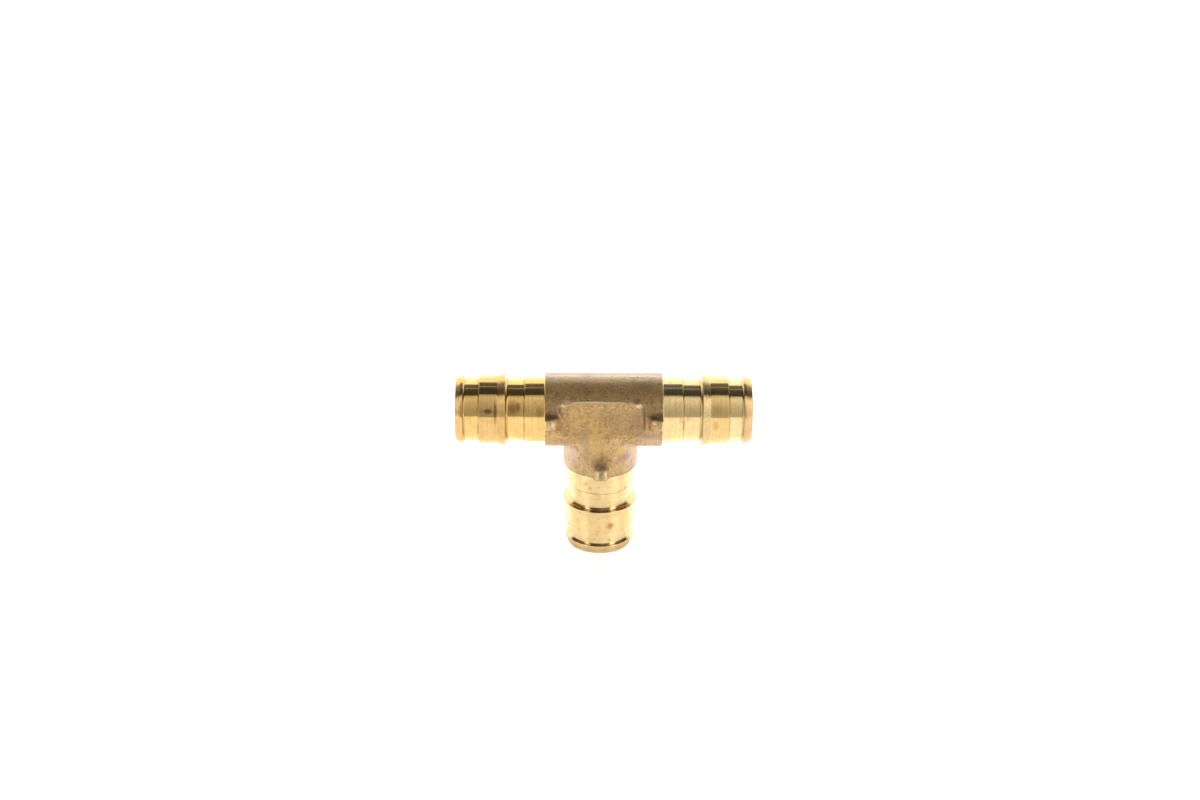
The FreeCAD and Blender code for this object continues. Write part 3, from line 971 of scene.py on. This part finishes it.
def white_world():
    """White for the camera; what the metal sees is a pale tent with dim and dark parts."""
    world = bpy.data.worlds.new("studio")
    world.use_nodes = True
    bpy.context.scene.world = world
    world.node_tree.nodes.clear()
    nodes = Nodes(world.node_tree)
    x, y, z = nodes.parts(nodes.add("ShaderNodeTexCoord").outputs["Generated"])
    ahead = nodes.times(y, -1.0)
    over = nodes.math("DEGREES", nodes.math("ARCTAN2", z, ahead))
    side = nodes.math("DEGREES", nodes.math("ARCTAN2", nodes.absolute(x), ahead))
    height = nodes.math("DEGREES", nodes.math("ARCSINE", z))

    # The dim front, brighter towards the top and the right
    level = nodes.step(over, *FRONT_OVER, *FRONT_LEVELS)
    level = nodes.times(level, nodes.step(x, *FRONT_ACROSS, *FRONT_ACROSS_LEVELS))
    # Softboxes to both sides of the camera
    softbox = nodes.band(side, *SOFTBOX_SIDES, 3.0)
    softbox = nodes.times(softbox, nodes.step(height, *SOFTBOX_TOP, 1.0, 0.0))
    bright = nodes.step(height, *SOFTBOX_HEIGHTS, *SOFTBOX_LEVELS)
    bright = nodes.times(bright, nodes.step(x, *SOFTBOX_ACROSS, *SOFTBOX_ACROSS_LEVELS))
    level = nodes.blend(softbox, level, bright)
    # Dim flanks, then the white wall behind
    level = nodes.blend(nodes.step(side, *FLANKS_SIDE), level, FLANKS_LEVEL)
    rear = nodes.step(over, *REAR_OVER, *REAR_LEVELS)
    level = nodes.blend(nodes.step(side, *REAR_SIDE), level, rear)
    # The dark gap overhead, with one faint strip
    dark = nodes.step(over, *GAP_LEVELS_OVER, *GAP_LEVELS)
    dark = nodes.blend(nodes.band(over, *STRIP_OVER, 0.8), dark, STRIP_LEVEL)
    level = nodes.blend(nodes.band(over, *GAP_OVER, 0.8), level, dark)
    # White below the floor's edge
    level = nodes.blend(nodes.step(height, *GROUND_HEIGHT, 1.0, 0.0), level, 1.0)

    light = nodes.mix(nodes.band(over, *WARM_OVER, 1.0), WHITE, WARM_LIGHT)
    light = nodes.mix(softbox, light, SOFTBOX_LIGHT)
    seen = nodes.add("ShaderNodeBackground")
    nodes.link(opaque(WHITE), seen.inputs["Color"])
    felt = nodes.add("ShaderNodeBackground")
    nodes.link(light, felt.inputs["Color"])
    nodes.link(level, felt.inputs["Strength"])
    path = nodes.add("ShaderNodeLightPath")
    mixed = nodes.add("ShaderNodeMixShader")
    nodes.link(path.outputs["Is Camera Ray"], mixed.inputs[0])
    nodes.link(felt.outputs[0], mixed.inputs[1])
    nodes.link(seen.outputs[0], mixed.inputs[2])
    output = nodes.add("ShaderNodeOutputWorld")
    nodes.link(mixed.outputs[0], output.inputs["Surface"])


def floor_material():
    """Pale and glossy; it glows for the camera, so that it reads white and keeps a faint shadow."""
    material, nodes, shader = new_material("floor_white")
    coordinates = nodes.add("ShaderNodeTexCoord")
    grain = nodes.noise(coordinates.outputs["Object"], scale=60.0)
    nodes.link(nodes.mix(grain, *FLOOR_TONES), shader.inputs["Base Color"])
    shader.inputs["Roughness"].default_value = FLOOR_ROUGHNESS
    shader.inputs["IOR"].default_value = FLOOR_IOR
    path = nodes.add("ShaderNodeLightPath")
    mirrored = nodes.math("MAXIMUM", path.outputs["Is Glossy Ray"], path.outputs["Is Transmission Ray"])
    # Painted shadow and light in what the brass mirrors: the glow is dimmer close under the fitting, by
    # distances in millimetres, and brighter behind it
    place = nodes.object_place()
    reach = nodes.vector("LENGTH", nodes.vector("MULTIPLY", place, (1, 1, 0)))
    behind = nodes.step(nodes.parts(place)[1], -16.0, 10.0)
    behind = nodes.times(behind, nodes.step(reach, 11.0, 17.0))
    level = nodes.plus(nodes.step(reach, 7.0, 13.0, 0.25, 0.64), nodes.times(behind, 0.3))
    mirrored = nodes.times(mirrored, level)
    seen = nodes.times(path.outputs["Is Camera Ray"], FLOOR_GLOW)
    glow = nodes.add("ShaderNodeEmission")
    nodes.link(nodes.mix(behind, WHITE, BEHIND_LIGHT), glow.inputs["Color"])
    nodes.link(nodes.math("MAXIMUM", seen, mirrored), glow.inputs["Strength"])
    both = nodes.add("ShaderNodeAddShader")
    nodes.link(shader.outputs[0], both.inputs[0])
    nodes.link(glow.outputs[0], both.inputs[1])
    output = next(node for node in nodes.tree.nodes if node.type == "OUTPUT_MATERIAL")
    nodes.link(both.outputs[0], output.inputs["Surface"])
    return material


def white_floor():
    mesh = bpy.data.meshes.new("floor")
    bm = bmesh.new()
    bmesh.ops.create_circle(bm, cap_ends=True, segments=96, radius=FLOOR_RADIUS)
    bmesh.ops.translate(bm, vec=(0, 0, FLOOR_Z * MM), verts=bm.verts)
    bm.to_mesh(mesh)
    bm.free()
    floor = link_object("floor", mesh)
    floor.data.materials.append(floor_material())


# The camera: angles in degrees, distance in metres, and the photograph's frame in pixels, with the
# place in it of the point where the bores' axes cross

CAMERA_AZIMUTH = -1.5
CAMERA_ELEVATION = 26.3
CAMERA_ROLL = 0.87
CAMERA_DISTANCE = 0.5
PIXELS_PER_MM = 4.553
CENTRE = (601.03, 409.46)
IMAGE = (1200, 800)
SENSOR_WIDTH = 36.0


def add_camera():
    azimuth = math.radians(CAMERA_AZIMUTH)
    elevation = math.radians(CAMERA_ELEVATION)
    roll = math.radians(CAMERA_ROLL)
    back = Vector(
        (
            math.sin(azimuth) * math.cos(elevation),
            -math.cos(azimuth) * math.cos(elevation),
            math.sin(elevation),
        )
    )
    level = Vector((math.cos(azimuth), math.sin(azimuth), 0))
    upright = back.cross(level)
    right = level * math.cos(roll) + upright * math.sin(roll)
    up = upright * math.cos(roll) - level * math.sin(roll)
    data = bpy.data.cameras.new("camera")
    data.sensor_width = SENSOR_WIDTH
    data.lens = PIXELS_PER_MM * CAMERA_DISTANCE / MM * SENSOR_WIDTH / IMAGE[0]
    data.shift_x = (IMAGE[0] / 2 - CENTRE[0]) / IMAGE[0]
    data.shift_y = (CENTRE[1] - IMAGE[1] / 2) / IMAGE[0]
    data.clip_start = 0.01
    data.clip_end = 20
    camera = link_object("camera", data)
    place = Matrix((right, up, back)).transposed().to_4x4()
    place.translation = back * CAMERA_DISTANCE
    camera.matrix_world = place
    bpy.context.scene.camera = camera


white_world()
white_floor()
add_camera()
bpy.context.scene.view_settings.view_transform = "Standard"
